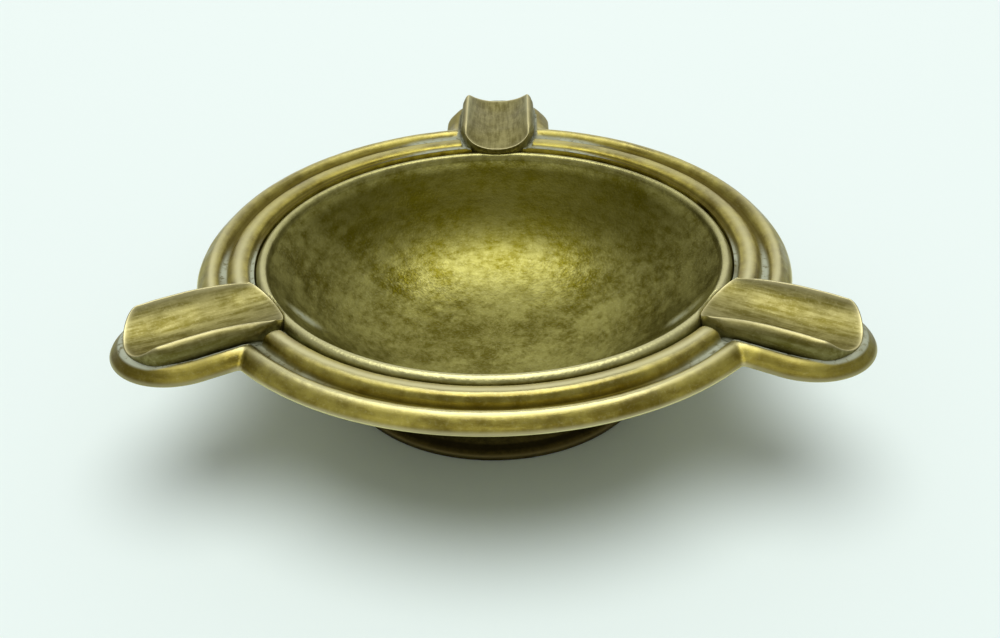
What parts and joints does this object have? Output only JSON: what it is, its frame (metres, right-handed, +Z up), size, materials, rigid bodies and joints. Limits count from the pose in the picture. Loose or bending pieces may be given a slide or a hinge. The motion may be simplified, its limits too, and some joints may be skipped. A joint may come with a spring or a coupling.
{
  "type": "incense burner",
  "caption": "Round footed brass dish with a beaded rim and troughed rests on round-ended lugs, for cones, sticks or rolled incense.",
  "frame": {"origin": "centre of the foot's flat underside, on the bowl's axis", "axes": "+Z up along the bowl's axis, +Y along the back rest, +X to the right"},
  "size_m": [0.1622, 0.1616, 0.0389],
  "materials": {
    "bowl": "aged cast brass, grainy inside",
    "rim": "aged turned brass, worn bright on the beads, verdigris in the grooves",
    "rest": "aged brass, scratched lengthwise, lips worn bright",
    "foot": "darkened brass"
  },
  "bodies": {
    "root": {"bowl": "bowl", "rim_ring": "rim", "rest_back": "rest", "rest_left": "rest", "rest_right": "rest", "foot": "foot"}
  },
  "joints": []
}
